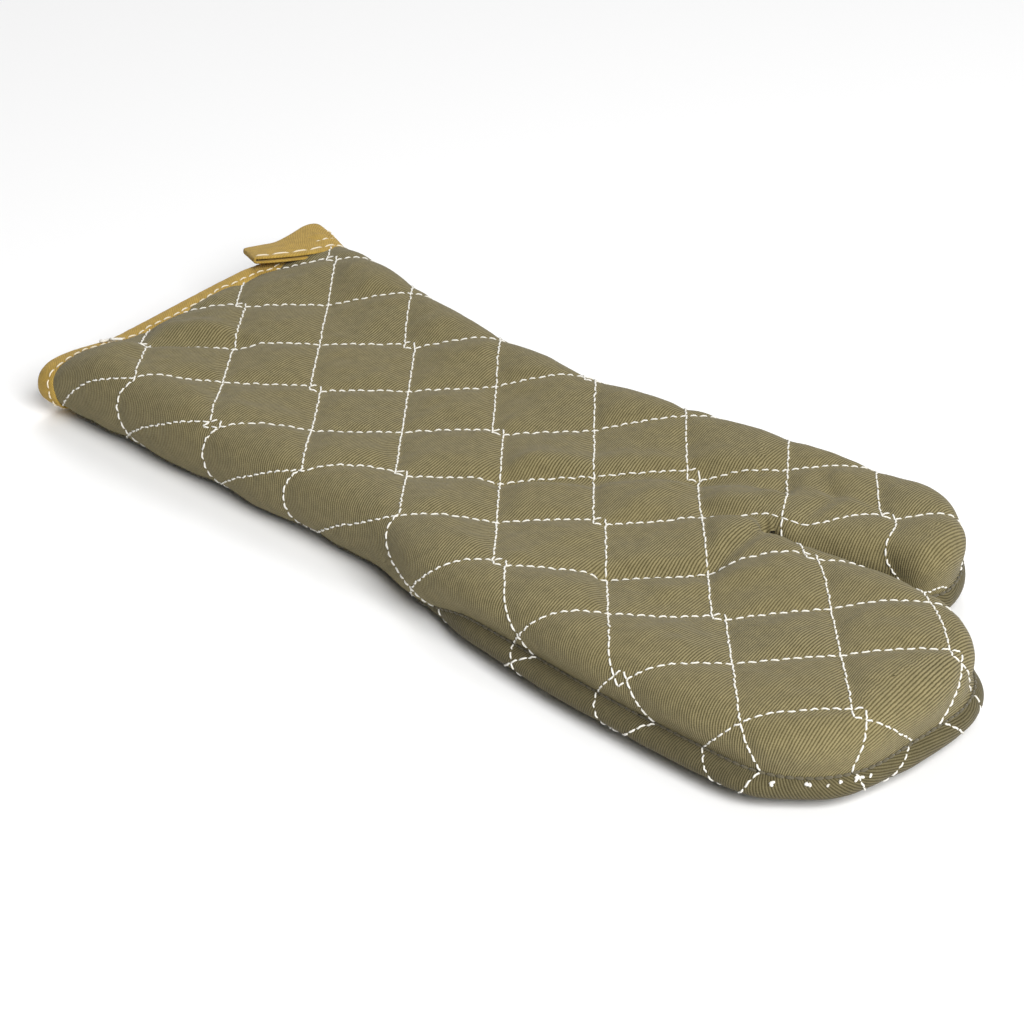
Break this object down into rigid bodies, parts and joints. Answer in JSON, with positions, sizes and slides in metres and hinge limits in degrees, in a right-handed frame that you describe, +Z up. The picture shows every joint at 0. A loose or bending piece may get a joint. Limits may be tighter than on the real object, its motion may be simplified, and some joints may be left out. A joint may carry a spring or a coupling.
{
  "type": "oven mitt",
  "caption": "Long quilted oven mitt with a separate thumb, a tape-bound cuff and a hanging loop, lying flat and empty.",
  "frame": {"origin": "centre of the object's box, on the surface that it lies on", "axes": "+X towards the fingertips, +Y towards the thumb side, +Z up"},
  "size_m": [0.44, 0.1858, 0.0386],
  "materials": {
    "outer_twill": "matt olive cotton twill",
    "batting": "soft unbleached cotton batting",
    "lining": "plain woven cotton lining",
    "thread": "white spun thread",
    "seam_thread": "olive spun thread",
    "binding_tape": "matt tan cotton twill tape"
  },
  "bodies": {
    "palm": {"palm_outer_top": "outer_twill", "palm_batting_top": "batting", "palm_lining_top": "lining", "palm_outer_bottom": "outer_twill", "palm_batting_bottom": "batting", "palm_lining_bottom": "lining", "palm_quilting_top": "thread", "palm_quilting_bottom": "thread", "palm_seam": "seam_thread", "cuff_binding": "binding_tape", "binding_stitching": "thread"},
    "fingers": {"fingers_outer_top": "outer_twill", "fingers_batting_top": "batting", "fingers_lining_top": "lining", "fingers_outer_bottom": "outer_twill", "fingers_batting_bottom": "batting", "fingers_lining_bottom": "lining", "fingers_quilting_top": "thread", "fingers_quilting_bottom": "thread", "fingers_seam": "seam_thread"},
    "thumb": {"thumb_outer_top": "outer_twill", "thumb_batting_top": "batting", "thumb_lining_top": "lining", "thumb_outer_bottom": "outer_twill", "thumb_batting_bottom": "batting", "thumb_lining_bottom": "lining", "thumb_quilting_top": "thread", "thumb_quilting_bottom": "thread", "thumb_seam": "seam_thread"},
    "loop": {"hanging_loop": "binding_tape", "loop_bartack": "thread"}
  },
  "joints": [
    {"name": "finger_fold", "type": "hinge", "parent": "palm", "child": "fingers", "pos_m": [0.129, -0.03536, 0.0298], "axis": [0, -1, 0], "range_deg": [0, 80]},
    {"name": "thumb_fold", "type": "hinge", "parent": "palm", "child": "thumb", "pos_m": [0.0792, 0.05234, 0.0298], "axis": [0.5821, -0.8131, 0], "range_deg": [0, 60]},
    {"name": "loop_swing", "type": "hinge", "parent": "palm", "child": "loop", "pos_m": [-0.2085, 0.08484, 0.0296], "axis": [-1, 0, 0], "range_deg": [0, 160]}
  ]
}
